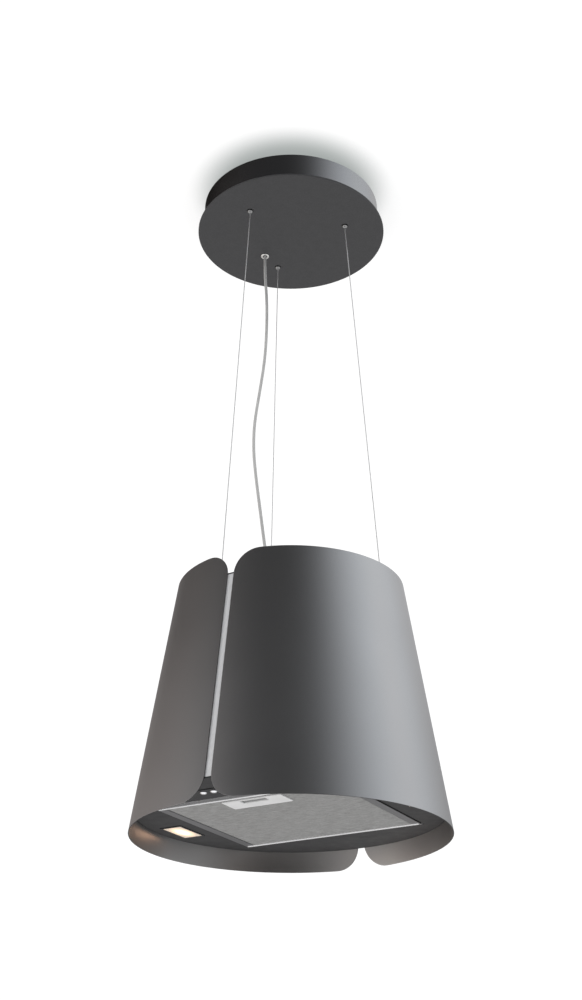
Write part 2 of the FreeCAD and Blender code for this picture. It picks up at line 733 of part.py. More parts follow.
def gripper_lock_nuts():
    nuts = []
    for angle in WIRE_ANGLES:
        x, y = on_circle("wire_circle", angle)
        nut = doc.addObject("Part::Prism", "nut")
        nut.Polygon = 6
        bind(nut, Circumradius="9.8", Height="5")
        place(nut, (x, y, "-bracket_depth - 5"))
        nuts.append(cut(nut, rod("5", "7", (x, y, "-bracket_depth - 6"))))
    return group(*nuts)


def gripper_plunger(angle):
    """Release sleeve of a gripper; pushed up it frees the wire."""
    tip = "-disc_drop - 2.5"
    return turned([("1.1", tip), ("3.6", tip), ("4.4", f"{tip} + 1"), ("4.4", "-45"),
                   ("plunger_radius", "-45"), ("plunger_radius", "-26"), ("1.1", "-26")],
                  at=(*on_circle("wire_circle", angle), 0))


def gripper_spring(angle):
    return turned([("2.2", "-26"), ("3.2", "-26"), ("3.2", "-20"), ("2.2", "-20")],
                  at=(*on_circle("wire_circle", angle), 0))


def terminal_block():
    return block(("20", "-35", "-bracket_depth - 18"), ("62", "-15", "-bracket_depth"))


def gland(at, top, nose):
    """Cord gland turned from its fixed end to its nose; both ends are heights in the frame."""
    side = "-1" if size(nose) < size(top) else "1"
    span = f"(({nose}) - ({top})) * {side}"
    levels = [f"{top} + {side} * ({part})" for part in ("0", "3", "7", f"({span}) - 4", span)]
    return turned([("0", levels[0]), ("9", levels[0]), ("9", levels[1]), ("6.5", levels[2]),
                   ("6.5", levels[3]), ("4.2", levels[4]), ("0", levels[4])], at=(*at, 0))


# ---------------------------------------------------------------- wires and cord

def bent_path(points, radii):
    """Straight runs joined by tangent arcs; one radius for each inner point."""
    edges = []
    start = points[0]
    for before, corner, after, radius in zip(points, points[1:], points[2:], radii):
        back = (before - corner).normalize()
        ahead = (after - corner).normalize()
        half_turn = (math.pi - back.getAngle(ahead)) / 2
        setback = radius * math.tan(half_turn)
        enter, leave = corner + back * setback, corner + ahead * setback
        inward = (back + ahead).normalize()
        centre = corner + inward * (radius / math.cos(half_turn))
        edges.append(Part.LineSegment(start, enter).toShape())
        edges.append(Part.Arc(enter, centre - inward * radius, leave).toShape())
        start = leave
    edges.append(Part.LineSegment(start, points[-1]).toShape())
    return Part.Wire(edges)


def tube(name, path, radius):
    """Solid rod of a round section along a path that starts straight down."""
    start = path.Edges[0]
    section = Part.Circle(start.valueAt(start.FirstParameter),
                          start.tangentAt(start.FirstParameter), radius)
    piece = doc.addObject("Part::Feature", name)
    piece.Shape = path.makePipeShell([Part.Wire(section.toShape())], True, True)
    expected = math.pi * radius ** 2 * path.Length
    error = abs(piece.Shape.Volume / expected - 1)
    print(f"{name}: length {path.Length:.1f} mm, volume error {error:.4f}")
    assert error < 0.01, name
    return piece


def suspension_wire(angle):
    turn = math.radians(angle)
    top, low = size("wire_circle"), size("anchor_circle")

    def point(radius, height):
        return FreeCAD.Vector(radius * math.cos(turn), radius * math.sin(turn), height)
    seat = size(rise("cover_rise"))
    points = [point(top, -2), point(top, -64), point(low, seat + 20), point(low, seat)]
    return tube("wire", bent_path(points, [size("wire_bend")] * 2), size("wire_radius"))


def power_cord():
    points = [FreeCAD.Vector(*point) for point in CORD_ROUTE]
    radii = []
    for before, corner, after in zip(points, points[1:], points[2:]):
        turn = math.pi - (before - corner).getAngle(after - corner)
        run = min((corner - before).Length, (after - corner).Length)
        radii.append(0.45 * run / math.tan(turn / 2))
    print("cord radii, mm:", [round(radius) for radius in radii])
    return tube("cord", bent_path(points, radii), size("cord_radius"))


# ---------------------------------------------------------------- assembly

def build():
    subpart(ceiling_bracket(), "ceiling_bracket")
    subpart(canopy_drum(), "canopy_drum")
    subpart(drum_screws(), "drum_screws")
    subpart(cover_magnets(), "cover_magnets")
    subpart(gripper_lock_nuts(), "gripper_lock_nuts")
    subpart(terminal_block(), "terminal_block")
    subpart(canopy_disc(), "canopy_disc")
    subpart(cord_ring(), "cord_ring")
    cord_exit = ("cord_exit_x", "cord_exit_y")
    cord_entry = ("cord_entry_x", "cord_entry_y")
    subpart(gland(cord_exit, "-bracket_depth", "-30"), "cord_gland_canopy")
    subpart(gland(cord_entry, rise("cover_rise + plate_depth"), "-740"), "cord_gland_hood")
    subpart(power_cord(), "power_cord")
    for letter, angle in zip(LETTERS, WIRE_ANGLES):
        subpart(gripper_body(angle), f"gripper_body_{letter}")
        subpart(gripper_plunger(angle), f"gripper_plunger_{letter}")
        subpart(gripper_spring(angle), f"gripper_spring_{letter}")
        subpart(suspension_wire(angle), f"suspension_wire_{letter}")
    subpart(wire_anchors(), "wire_anchors")
    for side, name in ((-1, "left"), (1, "right")):
        subpart(shell(side), f"shell_{name}")
        subpart(lamp_bezel(side), f"lamp_bezel_{name}")
        subpart(lamp_lens(side), f"lamp_lens_{name}")
    subpart(slit_profile(-1), "slit_profile_front")
    subpart(slit_profile(1), "slit_profile_rear")
    for make in (top_cover, suspension_ring, cover_screws, base_plate, filter_tray, motor_deck,
                 inlet_ring, carbon_filter, impeller, motor_shaft, motor_body, motor_bracket,
                 rubber_mounts, control_box, button_bezel, switch_board, filter_frame,
                 filter_mesh, filter_core, filter_handle, filter_latch, latch_spring):
        subpart(make(), make.__name__)
    for number, place_x in enumerate(button_places(), start=1):
        subpart(button(place_x), f"button_{number}")


def check():
    """Stop if any object failed or any sub-part is not a valid solid."""
    for item in doc.Objects:
        assert not {"Invalid", "Error"} & set(item.State), (item.Label, item.Name, item.State)
    for piece in SUBPARTS:
        shape = piece.Shape
        assert not shape.isNull() and shape.isValid() and shape.Solids, piece.Label


build()
doc.recompute()
check()
os.makedirs("parts", exist_ok=True)
for piece in SUBPARTS:
    piece.Shape.exportStep(f"parts/{piece.Label}.step")
print(len(SUBPARTS), "sub-parts written")
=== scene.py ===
"""Island range hood on three steel wires: looks, stage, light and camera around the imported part."""

import json
import math

import bmesh
import bpy
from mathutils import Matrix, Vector

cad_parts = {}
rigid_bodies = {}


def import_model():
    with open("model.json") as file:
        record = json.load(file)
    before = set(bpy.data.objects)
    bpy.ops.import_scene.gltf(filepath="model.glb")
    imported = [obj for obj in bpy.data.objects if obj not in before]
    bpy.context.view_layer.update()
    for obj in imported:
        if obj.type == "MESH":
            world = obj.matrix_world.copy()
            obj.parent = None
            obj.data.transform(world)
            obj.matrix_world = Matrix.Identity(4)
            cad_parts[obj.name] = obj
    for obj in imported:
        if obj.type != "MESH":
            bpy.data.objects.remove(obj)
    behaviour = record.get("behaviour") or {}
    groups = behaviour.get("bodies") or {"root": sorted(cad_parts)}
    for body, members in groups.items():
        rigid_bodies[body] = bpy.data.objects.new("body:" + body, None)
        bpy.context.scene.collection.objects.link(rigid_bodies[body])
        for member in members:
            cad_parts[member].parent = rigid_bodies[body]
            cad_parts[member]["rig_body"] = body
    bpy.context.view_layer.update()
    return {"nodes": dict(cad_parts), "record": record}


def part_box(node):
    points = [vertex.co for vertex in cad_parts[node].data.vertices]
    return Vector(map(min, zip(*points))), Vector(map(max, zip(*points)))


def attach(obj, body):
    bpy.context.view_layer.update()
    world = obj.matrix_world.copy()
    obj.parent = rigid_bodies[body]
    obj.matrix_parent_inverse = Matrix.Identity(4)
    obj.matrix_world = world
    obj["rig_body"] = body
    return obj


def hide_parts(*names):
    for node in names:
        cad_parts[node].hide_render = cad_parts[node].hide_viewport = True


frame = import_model()
MM = 0.001

# ---------------------------------------------------------------- sizes and places

# the two half shells
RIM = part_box("shell_left")[0].z
SHELL_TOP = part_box("shell_left")[1].z
RIM_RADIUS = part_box("shell_right")[1].x
TAPER = 0.1532  # radius lost per unit of rise
SHEET = 1.5 * MM
SLIT_WIDTH = 10 * MM
SLIT_CORNER = 37 * MM
SHELL_COLUMNS = 160

# the expanded metal of the grease filter
MESH_PITCH_X, MESH_PITCH_Y = 6 * MM, 3 * MM
MESH_OPENING = 0.66  # share of a cell that is open, along either diagonal
MESH_THICKNESS = 0.35 * MM
MESH_TILT = 0.18 * MM

# the view from the front right, below the hood
CAMERA_AZIMUTH = math.radians(29.0)
CAMERA_DISTANCE = 2.0203
CAMERA_BELOW_RIM = 0.4913
CAMERA_PITCH = math.radians(26.80)
CAMERA_LENS = 52.04

# ceiling, floor and the shade on the ceiling round the canopy
DRUM_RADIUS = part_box("canopy_drum")[1].x
STAGE_RADIUS = 40.0
FLOOR_DROP = 1.5
SHADE_OFFSET = 50 * MM
SHADE_START, SHADE_END = 0.105, 0.180

# suspension wires: the azimuth is counted in degrees from -Y towards +X
WIRE_AZIMUTH = -16.9
WIRE_RADIUS = 0.75 * MM
WIRE_CIRCLE = 95.8 * MM
ANCHOR_CIRCLE = 141.6 * MM
WIRE_BEND = -64 * MM  # height of the bend below the grippers
ROPE_LAY = 11 * MM  # length of one turn of a strand
ROPE_SPACING = 1.2 * MM  # between the points of a rope's path

CORD_RADIUS = 2.5 * MM
# route of the power cord from the canopy's gland to the hood's gland
CORD_ROUTE = [
    (-0.0689, 0.0299, -0.030),
    (-0.0689, 0.0299, -0.090),
    (-0.0622, 0.0266, -0.150),
    (-0.0600, 0.0230, -0.214),
    (-0.0606, 0.0186, -0.276),
    (-0.0658, 0.0116, -0.340),
    (-0.0716, 0.0049, -0.402),
    (-0.0710, 0.0023, -0.455),
    (-0.0649, 0.0015, -0.508),
    (-0.0572, 0.0019, -0.564),
    (-0.0496, 0.0022, -0.620),
    (-0.0424, 0.0023, -0.668),
    (-0.0380, 0.0020, -0.707),
    (-0.0380, 0.0020, -0.740),
]


# ---------------------------------------------------------------- helpers

def link(obj):
    bpy.context.scene.collection.objects.link(obj)
    return obj


def smooth(obj, sharp):
    """Smooth shading that keeps edges sharper than an angle in degrees."""
    obj.data.shade_smooth()
    obj.data.set_sharp_from_angle(angle=math.radians(sharp))


def piece(name, verts, faces, material, body, slot, replaces=(), sharp=35):
    """Mesh object that rides on a body and takes a material."""
    mesh = bpy.data.meshes.new(name)
    mesh.from_pydata([tuple(v) for v in verts], [], faces)
    mesh.validate()
    obj = link(bpy.data.objects.new(name, mesh))
    return dress(obj, material, body, replaces, sharp)


def dress(obj, material, body, replaces=(), sharp=35):
    """Give a mesh object its material, shading, body and the CAD nodes it stands for."""
    obj.data.materials.clear()
    obj.data.materials.append(material)
    smooth(obj, sharp)
    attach(obj, body)
    if replaces:
        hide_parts(*replaces)
    return obj


def merged(parts):
    """One list of vertices and faces from several."""
    verts, faces = [], []
    for part_verts, part_faces in parts:
        start = len(verts)
        verts += list(part_verts)
        faces += [[start + i for i in face] for face in part_faces]
    return verts, faces


def bevelled(obj, width, angle=40):
    """Round the edges of a piece that are sharper than an angle."""
    bm = bmesh.new()
    bm.from_mesh(obj.data)
    bmesh.ops.remove_doubles(bm, verts=bm.verts, dist=1e-7)
    edges = [e for e in bm.edges
             if len(e.link_faces) == 2 and e.calc_face_angle(0) > math.radians(angle)]
    bmesh.ops.bevel(bm, geom=edges, offset=width, offset_type="OFFSET", segments=2,
                    profile=0.5, affect="EDGES", clamp_overlap=True)
    bm.to_mesh(obj.data)
    bm.free()
    smooth(obj, 35)
    flat = obj.modifiers.new("flat faces stay flat", "WEIGHTED_NORMAL")
    flat.keep_sharp = True
    return obj


def tube(path, radius, twist=0.0, offset=0.0, phase=0.0):
    """Six-sided tube along a path; with an offset and a twist it is one strand of a rope."""
    sides = 6
    verts, faces = [], []
    reference = Vector((0, 1, 0))
    travelled = 0.0
    for i, here in enumerate(path):
        ahead = (path[min(i + 1, len(path) - 1)] - path[max(i - 1, 0)]).normalized()
        side = ahead.cross(reference).normalized()
        up = side.cross(ahead)
        if i:
            travelled += (here - path[i - 1]).length
        turn = phase + twist * travelled
        centre = here + (side * math.cos(turn) + up * math.sin(turn)) * offset
        for k in range(sides):
            a = 2 * math.pi * k / sides
            verts.append(centre + (side * math.cos(a) + up * math.sin(a)) * radius)
        if i:
            low, high = (i - 1) * sides, i * sides
            for k in range(sides):
                n = (k + 1) % sides
                faces.append([low + k, low + n, high + n, high + k])
    faces.append(list(range(sides))[::-1])
    faces.append([len(verts) - sides + k for k in range(sides)])
    return verts, faces


def route_curve(name, points):
    """Curve of one open NURBS spline whose control points are the route's points."""
    curve = bpy.data.curves.new(name, "CURVE")
    curve.dimensions = "3D"
    curve.resolution_u = 16
    spline = curve.splines.new("NURBS")
    spline.points.add(len(points) - 1)
    for point, place in zip(spline.points, points):
        point.co = (*place, 1)
    spline.order_u = 3
    spline.use_endpoint_u = True
    return link(bpy.data.objects.new(name, curve))


def spline_points(points, spacing):
    """Evenly spaced points of a route's NURBS spline."""
    guide = route_curve("guide", points)
    bpy.context.view_layer.update()
    mesh = bpy.data.meshes.new_from_object(guide)
    line = [v.co.copy() for v in mesh.vertices]
    bpy.data.objects.remove(guide)
    out, left = [line[0]], spacing
    for one, two in zip(line, line[1:]):
        span = (two - one).length
        along = left
        while along < span:
            out.append(one.lerp(two, along / span))
            along += spacing
        left = along - span
    out.append(line[-1])
    return out


# ---------------------------------------------------------------- materials

def material(name, colour, metallic, roughness, **sockets):
    """New Principled material; returns its node tree's parts in one small dictionary."""
    mat = bpy.data.materials.new(name)
    mat.use_nodes = True
    tree = mat.node_tree
    shader = tree.nodes["Principled BSDF"]
    shader.inputs["Base Color"].default_value = (*colour, 1)
    shader.inputs["Metallic"].default_value = metallic
    shader.inputs["Roughness"].default_value = roughness
    for socket, value in sockets.items():
        shader.inputs[socket.replace("_", " ")].default_value = value
    return {"mat": mat, "tree": tree, "shader": shader, "colour": colour, "roughness": roughness}


def coordinates(kit, stretch):
    """Object coordinates, multiplied along each axis."""
    place = kit["tree"].nodes.new("ShaderNodeTexCoord")
    mapping = kit["tree"].nodes.new("ShaderNodeMapping")
    mapping.inputs["Scale"].default_value = stretch
    kit["tree"].links.new(place.outputs["Object"], mapping.inputs["Vector"])
    return mapping.outputs["Vector"]


def noise(kit, scale, detail=3, stretch=(1, 1, 1), rough=0.5):
    """Noise pattern of a number of cells to the metre."""
    node = kit["tree"].nodes.new("ShaderNodeTexNoise")
    node.inputs["Scale"].default_value = scale
    node.inputs["Detail"].default_value = detail
    node.inputs["Roughness"].default_value = rough
    kit["tree"].links.new(coordinates(kit, stretch), node.inputs["Vector"])
    return node.outputs["Fac"]


def spread(kit, source, low, high):
    """Map a pattern's middle range to the range from low to high."""
    node = kit["tree"].nodes.new("ShaderNodeMapRange")
    node.inputs["From Min"].default_value = 0.3
    node.inputs["From Max"].default_value = 0.7
    node.inputs["To Min"].default_value = low
    node.inputs["To Max"].default_value = high
    kit["tree"].links.new(source, node.inputs["Value"])
    return node.outputs["Result"]


def tint(kit, source, darker, lighter):
    """Colour the surface between two shares of its base colour by a pattern."""
    mix = kit["tree"].nodes.new("ShaderNodeMix")
    mix.data_type = "RGBA"
    mix.inputs["A"].default_value = (*[min(1, c * darker) for c in kit["colour"]], 1)
    mix.inputs["B"].default_value = (*[min(1, c * lighter) for c in kit["colour"]], 1)
    kit["tree"].links.new(spread(kit, source, 0, 1), mix.inputs["Factor"])
    kit["tree"].links.new(mix.outputs["Result"], kit["shader"].inputs["Base Color"])


def gloss(kit, source, amount):
    """Vary the roughness by a pattern, by an amount either way."""
    low, high = kit["roughness"] - amount, kit["roughness"] + amount
    kit["tree"].links.new(spread(kit, source, low, high), kit["shader"].inputs["Roughness"])


def bump(kit, source, depth, strength):
    """Raise and lower the surface by a pattern, to a depth in metres."""
    node = kit["tree"].nodes.new("ShaderNodeBump")
    node.inputs["Strength"].default_value = strength
    node.inputs["Distance"].default_value = depth
    kit["tree"].links.new(source, node.inputs["Height"])
    kit["tree"].links.new(node.outputs["Normal"], kit["shader"].inputs["Normal"])


def metallic_paint(name, colour, roughness, metallic):
    """Sprayed metallic paint: fine flakes, a faint orange peel and slow gloss changes."""
    kit = material(name, colour, metallic, roughness, Coat_Weight=0.03, Coat_Roughness=0.4)
    tint(kit, noise(kit, 2600, detail=1), 0.93, 1.07)
    gloss(kit, noise(kit, 9, detail=2), 0.02)
    bump(kit, noise(kit, 900, detail=2), 0.00002, 0.4)
    return kit["mat"]


def powder_paint(name, colour, roughness):
    """Matte powder coat with a fine grain."""
    kit = material(name, colour, 0.0, roughness, Specular_IOR_Level=0.35)
    tint(kit, noise(kit, 700, detail=2), 0.85, 1.15)
    gloss(kit, noise(kit, 60), 0.05)
    bump(kit, noise(kit, 1600, detail=2), 0.00004, 0.5)
    return kit["mat"]


def brushed(name, colour, roughness, stretch, grain=0.06, metallic=1.0):
    """Metal with a fine grain along one direction."""
    kit = material(name, colour, metallic, roughness)
    lines = noise(kit, 1.0, detail=4, stretch=stretch, rough=0.6)
    tint(kit, lines, 1 - grain, 1 + grain)
    gloss(kit, lines, 0.06)
    bump(kit, lines, 0.00001, 0.5)
    return kit["mat"]


def moulded(name, colour, roughness):
    """Moulded plastic with a fine texture."""
    kit = material(name, colour, 0.0, roughness)
    tint(kit, noise(kit, 45), 0.95, 1.05)
    gloss(kit, noise(kit, 120), 0.04)
    bump(kit, noise(kit, 2200, detail=1), 0.00003, 0.4)
    return kit["mat"]


def polished(name, colour, roughness):
    """Plated metal with slight wear in its gloss."""
    kit = material(name, colour, 1.0, roughness)
    gloss(kit, noise(kit, 260), 0.03)
    tint(kit, noise(kit, 90), 0.96, 1.03)
    return kit["mat"]


def lit_lens(name):
    """Frosted diffuser, white in its middle and amber at its ends, over a row of diodes."""
    kit = material(name, (0.9, 0.82, 0.7), 0.0, 0.45, Emission_Strength=1.3)
    tree = kit["tree"]
    place = tree.nodes.new("ShaderNodeTexCoord")
    centred = tree.nodes.new("ShaderNodeMapping")
    centred.inputs["Location"].default_value = (-1, -1, 0)
    centred.inputs["Scale"].default_value = (2, 2, 0)
    tree.links.new(place.outputs["Generated"], centred.inputs["Vector"])
    fall = tree.nodes.new("ShaderNodeTexGradient")
    fall.gradient_type = "SPHERICAL"
    tree.links.new(centred.outputs["Vector"], fall.inputs["Vector"])
    ramp = tree.nodes.new("ShaderNodeValToRGB")
    ramp.color_ramp.elements[0].color = (0.10, 0.05, 0.025, 1)
    ramp.color_ramp.elements[1].color = (1.0, 0.90, 0.76, 1)
    ramp.color_ramp.elements[1].position = 0.8
    amber = ramp.color_ramp.elements.new(0.32)
    amber.color = (0.62, 0.33, 0.16, 1)
    tree.links.new(fall.outputs["Fac"], ramp.inputs["Fac"])
    tree.links.new(ramp.outputs["Color"], kit["shader"].inputs["Emission Color"])
    bump(kit, noise(kit, 900), 0.00003, 0.5)
    return kit["mat"]


SHELL_PAINT = metallic_paint("shell paint", (0.50, 0.50, 0.515), 0.33, 0.985)
# Darker, warmer copy of the shell paint for the inner faces: painted shade with the warm light of the
# lamps.
INNER_WARM_SHADE_PAINT = metallic_paint("inner shell painted warm shade", (0.45, 0.435, 0.43), 0.30, 0.97)
# Near-black copy of the shell paint for the sheet's cut edges: painted shade.
EDGE_SHADE_PAINT = metallic_paint("cut edge painted shade", (0.055, 0.055, 0.055), 0.45, 0.6)
# Darker copy of the shell paint for the drum: painted shade, for the shaded ceiling that the drum
# reflects.
DRUM_SHADED_PAINT = metallic_paint("drum paint with painted shade", (0.355, 0.355, 0.37), 0.22, 1.0)
DISC_PAINT = powder_paint("disc paint", (0.060, 0.060, 0.063), 0.5)
DARK_PAINT = powder_paint("dark powder paint", (0.026, 0.026, 0.0275), 0.5)
COVER_PAINT = powder_paint("cover powder paint", (0.07, 0.07, 0.073), 0.5)
BAR_METAL = brushed("anodised bar", (0.90, 0.91, 0.93), 0.42, (900, 900, 12), metallic=0.45)
# The filter frame's aluminium in two copies: a dark one, painted shade, for the frame and its side
# rails, and a bright one, painted highlight, for the front and rear rails.
SHADED_FRAME_METAL = brushed("filter frame metal painted shade", (0.30, 0.30, 0.31), 0.36, (900, 12, 900))
END_RAIL_HIGHLIGHT_METAL = brushed("end rail painted highlight metal", (0.92, 0.92, 0.93), 0.38, (12, 900, 900), metallic=0.35)
MESH_METAL = brushed("filter mesh metal", (0.52, 0.52, 0.515), 0.34, (70, 460, 460), 0.26)
ZINC = brushed("zinc-plated sheet", (0.60, 0.62, 0.63), 0.36, (90, 90, 90), 0.12)
SCREW_STEEL = polished("screw steel", (0.62, 0.62, 0.63), 0.28)
NICKEL = polished("nickel plate", (0.80, 0.79, 0.77), 0.16)
DULL_STEEL = polished("dull steel", (0.42, 0.42, 0.42), 0.34)
CHROME = polished("chrome", (0.92, 0.92, 0.94), 0.10)
WIRE_STEEL = brushed("wire steel", (0.86, 0.86, 0.87), 0.38, (1500, 1500, 300), 0.12, metallic=0.7)
CORD_SHEATH = moulded("cord sheath", (0.60, 0.60, 0.595), 0.42)
GREY_PLASTIC = moulded("grey plastic", (0.42, 0.42, 0.42), 0.5)
HANDLE_PLASTIC = moulded("handle plastic", (0.88, 0.88, 0.88), 0.35)
BLACK_PLASTIC = moulded("black plastic", (0.03, 0.03, 0.03), 0.5)
FAN_PLASTIC = moulded("fan plastic", (0.09, 0.09, 0.092), 0.45)
RUBBER = moulded("black rubber", (0.025, 0.025, 0.025), 0.7)
LENS = lit_lens("lit lens")


# ---------------------------------------------------------------- camera

def make_camera():
    """Camera low in front of the hood, looking up at it."""
    camera = bpy.data.cameras.new("camera")
    camera.lens = CAMERA_LENS
    camera.sensor_width = 36
    obj = link(bpy.data.objects.new("camera", camera))
    obj.location = (CAMERA_DISTANCE * math.sin(CAMERA_AZIMUTH),
                    -CAMERA_DISTANCE * math.cos(CAMERA_AZIMUTH), RIM - CAMERA_BELOW_RIM)
    obj.rotation_euler = (math.pi / 2 + CAMERA_PITCH, 0, CAMERA_AZIMUTH)
    bpy.context.scene.camera = obj


# ---------------------------------------------------------------- cords

def suspension_wires():
    """Three ropes of six strands round a core, straight between gripper and anchor."""
    top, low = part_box("suspension_wire_a")[1].z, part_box("suspension_wire_a")[0].z
    for index, letter in enumerate("abc"):
        angle = math.radians(WIRE_AZIMUTH - 90 + 120 * index)

        def point(radius, height):
            return (radius * math.cos(angle), radius * math.sin(angle), height)
        route = [point(WIRE_CIRCLE, top), point(WIRE_CIRCLE, top - 54 * MM),
                 point(WIRE_CIRCLE, WIRE_BEND), point(ANCHOR_CIRCLE, low + 20 * MM),
                 point(ANCHOR_CIRCLE, low + 12 * MM), point(ANCHOR_CIRCLE, low)]
        path = spline_points(route, ROPE_SPACING)
        strand = WIRE_RADIUS / 3
        parts = [tube(path, strand)]
        for k in range(6):
            parts.append(tube(path, strand, twist=2 * math.pi / ROPE_LAY,
                              offset=2 * strand, phase=k * math.pi / 3))
        node = f"suspension_wire_{letter}"
        rope = piece(f"rope_{letter}", *merged(parts), WIRE_STEEL, "hood", "wire_steel", [node])


def power_cord():
    """Round cord that hangs with its slack between the canopy's gland and the hood's."""
    cord = route_curve("power_cable", CORD_ROUTE)
    cord.data.bevel_depth = CORD_RADIUS
    cord.data.bevel_resolution = 5
    cord.data.use_fill_caps = True
    cord.data.materials.append(CORD_SHEATH)
    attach(cord, "hood")
    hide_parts("power_cord")


# ---------------------------------------------------------------- shells and bars

def shell_rows():
    """Heights of a half shell's rows, each with the distance from its edge to the YZ plane."""
    corner = []
    for step in range(13):
        t = math.pi / 2 * step / 12
        corner.append((SLIT_CORNER * (1 - math.cos(t)), SLIT_CORNER * (1 - math.sin(t))))
    straight = SHELL_TOP - RIM - 2 * SLIT_CORNER
    middle = [(SLIT_CORNER + straight * k / 9, 0.0) for k in range(1, 9)]
    rows = [(RIM + rise, SLIT_WIDTH / 2 + inset) for rise, inset in corner + middle]
    rows += [(SHELL_TOP - rise, SLIT_WIDTH / 2 + inset) for rise, inset in reversed(corner)]
    return rows


def shell_points(side, rows):
    """Points of the outer face of a half shell, row by row, then those of its inner face."""
    points = []
    for thickness in (0.0, SHEET):
        for z, x in rows:
            radius = RIM_RADIUS - TAPER * (z - RIM) - thickness
            start = math.asin(x / radius)
            for k in range(SHELL_COLUMNS + 1):
                a = start + (math.pi - 2 * start) * k / SHELL_COLUMNS
                points.append((side * radius * math.sin(a), -radius * math.cos(a), z))
    return points


def shell_faces(side, height):
    """Faces between the points of a half shell: both sides of the sheet and its cut edges."""
    width = SHELL_COLUMNS + 1
    layer = width * height
    faces = []
    for r in range(height - 1):
        for k in range(SHELL_COLUMNS):
            a = r * width + k
            faces.append([a, a + 1, a + 1 + width, a + width])
            faces.append([layer + a + width, layer + a + 1 + width, layer + a + 1, layer + a])
    for k in range(SHELL_COLUMNS):
        faces.append([layer + k, layer + k + 1, k + 1, k])
        a = (height - 1) * width + k
        faces.append([a, a + 1, layer + a + 1, layer + a])
    for r in range(height - 1):
        a, b = r * width, (r + 1) * width
        faces.append([a, b, layer + b, layer + a])
        c, d = a + SHELL_COLUMNS, b + SHELL_COLUMNS
        faces.append([layer + c, layer + d, d, c])
    return faces if side > 0 else [face[::-1] for face in faces]


def shell(side, name):
    """Half shell with rounded corners at the slits; side is 1 at +X and -1 at -X."""
    rows = shell_rows()
    obj = piece(f"half_shell_{name}", shell_points(side, rows), shell_faces(side, len(rows)),
                SHELL_PAINT, "hood", "shell_paint", [f"shell_{name}"])
    bevelled(obj, 0.35 * MM, angle=60)
    # inner faces take the darker, warmer copy: painted shade with the lamps' warm light
    obj.data.materials.append(INNER_WARM_SHADE_PAINT)
    obj.data.materials.append(EDGE_SHADE_PAINT)
    # faces that look neither out nor in are the cut edges and take the near-black painted shade
    for face in obj.data.polygons:
        outward = Vector((face.center.x, face.center.y, 0)).normalized().dot(face.normal)
        if abs(outward) < 0.6:
            face.material_index = 2
        elif outward < 0:
            face.material_index = 1


# ---------------------------------------------------------------- filter

def filter_mesh():
    """Expanded metal: a field of diamond openings between tilted strands."""
    low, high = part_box("filter_mesh")
    seat_low, seat_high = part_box("filter_handle")
    middle = (low.z + high.z) / 2
    verts, faces = [], []
    columns = int((high.x - low.x) / MESH_PITCH_X)
    rows = int((high.y - low.y) / MESH_PITCH_Y)
    ring = ((1, 0), (0, 1), (-1, 0), (0, -1))
    for half in (0, 1):
        for i in range(columns + 1 - half):
            x = (i - (columns - half) / 2) * MESH_PITCH_X
            for j in range(rows + 1 - half):
                y = (low.y + high.y) / 2 + (j - (rows - half) / 2) * MESH_PITCH_Y
                in_seat = seat_low.x < x < seat_high.x and seat_low.y < y < seat_high.y
                if in_seat or abs(x) > high.x or not low.y <= y <= high.y:
                    continue
                start = len(verts)
                for side in (-1, 1):
                    for share in (1, MESH_OPENING):
                        for dx, dy in ring:
                            lean = MESH_TILT * dy if share < 1 else 0
                            verts.append((x + dx * share * MESH_PITCH_X / 2,
                                          y + dy * share * MESH_PITCH_Y / 2,
                                          middle + side * MESH_THICKNESS / 2 + lean))
                for k in range(4):
                    n = (k + 1) % 4
                    faces.append([start + k, start + 4 + k, start + 4 + n, start + n])
                    faces.append([start + 8 + k, start + 8 + n, start + 12 + n, start + 12 + k])
                    faces.append([start + 4 + k, start + 12 + k, start + 12 + n, start + 4 + n])
    piece("expanded_mesh", verts, faces, MESH_METAL, "grease_filter", "filter_mesh_aluminium",
          ["filter_mesh"], sharp=10)


# ---------------------------------------------------------------- parts shaped by the CAD

def refined(node, width, material):
    """Copy of a CAD part with its sharp edges rounded, shown in its place."""
    source = frame["nodes"][node]
    mesh = source.data.copy()
    mesh.transform(source.matrix_world)
    bm = bmesh.new()
    bm.from_mesh(mesh)
    bmesh.ops.remove_doubles(bm, verts=bm.verts, dist=1e-6)
    bmesh.ops.dissolve_limit(bm, angle_limit=math.radians(0.5), verts=bm.verts, edges=bm.edges)
    bm.to_mesh(mesh)
    bm.free()
    obj = link(bpy.data.objects.new(f"{node}_soft", mesh))
    bevelled(obj, width)
    return dress(obj, material, source["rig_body"], [node])


def end_rail_highlight_faces():
    """Painted highlight: the faces of the filter frame's front and rear rails take the bright copy of
    the frame metal.
    """
    frame_piece = bpy.data.objects["filter_frame_soft"]
    mesh_low, mesh_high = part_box("filter_mesh")
    frame_piece.data.materials.append(END_RAIL_HIGHLIGHT_METAL)
    for face in frame_piece.data.polygons:
        if face.center.y > mesh_high.y - 0.1 * MM or face.center.y < mesh_low.y + 0.1 * MM:
            face.material_index = 1


